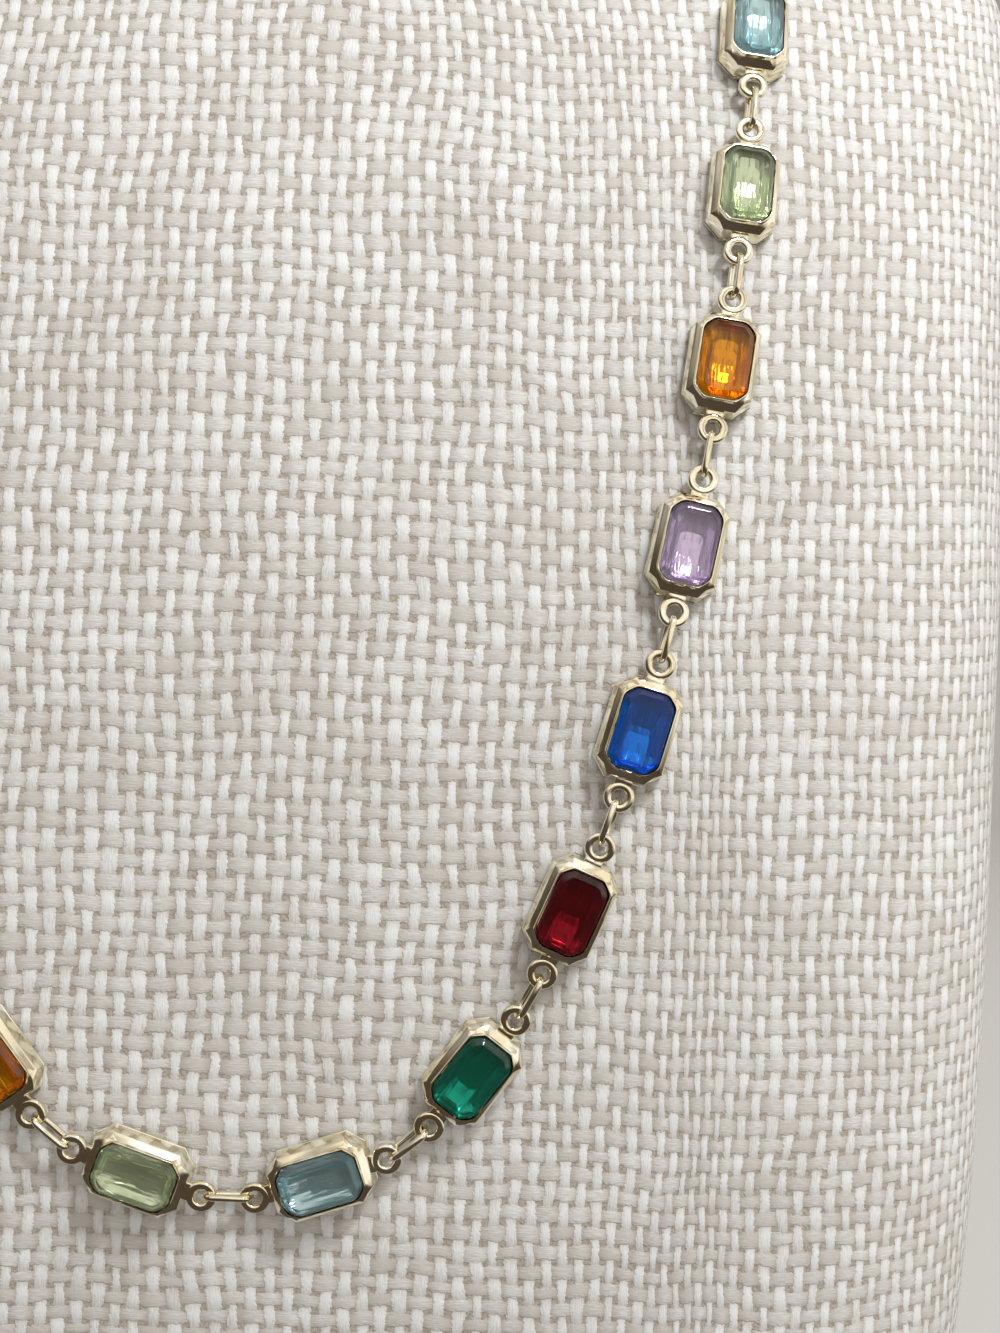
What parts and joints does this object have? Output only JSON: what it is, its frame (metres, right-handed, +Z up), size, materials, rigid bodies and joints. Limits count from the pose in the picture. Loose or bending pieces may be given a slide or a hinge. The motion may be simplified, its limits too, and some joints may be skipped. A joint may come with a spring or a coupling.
{
  "type": "station necklace on neck bust",
  "caption": "Station necklace of emerald-cut coloured stones in octagonal gold bezels joined by oval links, hung on a padded linen-covered neck bust that holds it open for display.",
  "frame": {"origin": "centre of the bust's underside, at the middle of the whole thing's box", "axes": "+Z up the neck, -Y out of the chest, +X to the right as the chest is faced"},
  "size_m": [0.1242, 0.0728, 0.214],
  "materials": {
    "gold": "polished pale yellow gold plating",
    "linen": "coarse natural plain-weave linen, matt",
    "stone_aqua": "polished aqua coloured faceted glass",
    "stone_emerald": "polished emerald coloured faceted glass",
    "stone_garnet": "polished garnet coloured faceted glass",
    "stone_sapphire": "polished sapphire coloured faceted glass",
    "stone_amethyst": "polished amethyst coloured faceted glass",
    "stone_orange": "polished orange faceted glass",
    "stone_peridot": "polished peridot coloured faceted glass"
  },
  "bodies": {
    "root": {"stone_01_aqua": "stone_aqua", "stone_02_emerald": "stone_emerald", "stone_03_garnet": "stone_garnet", "stone_04_sapphire": "stone_sapphire", "stone_05_amethyst": "stone_amethyst", "stone_06_orange": "stone_orange", "stone_07_peridot": "stone_peridot", "stone_08_aqua": "stone_aqua", "stone_09_emerald": "stone_emerald", "stone_10_garnet": "stone_garnet", "stone_11_sapphire": "stone_sapphire", "stone_12_amethyst": "stone_amethyst", "stone_13_orange": "stone_orange", "stone_14_peridot": "stone_peridot", "stone_15_aqua": "stone_aqua", "stone_16_emerald": "stone_emerald", "stone_17_garnet": "stone_garnet", "stone_18_sapphire": "stone_sapphire", "stone_19_amethyst": "stone_amethyst", "stone_20_orange": "stone_orange", "stone_21_peridot": "stone_peridot", "stone_22_aqua": "stone_aqua", "stone_23_emerald": "stone_emerald", "stone_24_garnet": "stone_garnet", "stone_25_sapphire": "stone_sapphire", "stone_26_amethyst": "stone_amethyst", "stone_27_orange": "stone_orange", "stone_28_peridot": "stone_peridot", "setting_09": "gold", "setting_10": "gold", "setting_11": "gold", "setting_12": "gold", "setting_13": "gold", "setting_14": "gold", "setting_15": "gold", "setting_16": "gold", "setting_17": "gold", "setting_18": "gold", "setting_19": "gold", "setting_20": "gold", "link_09": "gold", "link_10": "gold", "link_11": "gold", "link_12": "gold", "link_13": "gold", "link_14": "gold", "link_15": "gold", "link_16": "gold", "link_17": "gold", "link_18": "gold", "link_19": "gold", "link_20": "gold", "link_21": "gold", "chain_left_lower": "gold", "chain_left_upper": "gold", "chain_right_lower": "gold", "chain_right_upper": "gold", "clasp": "gold", "neck_bust": "linen"}
  },
  "joints": []
}
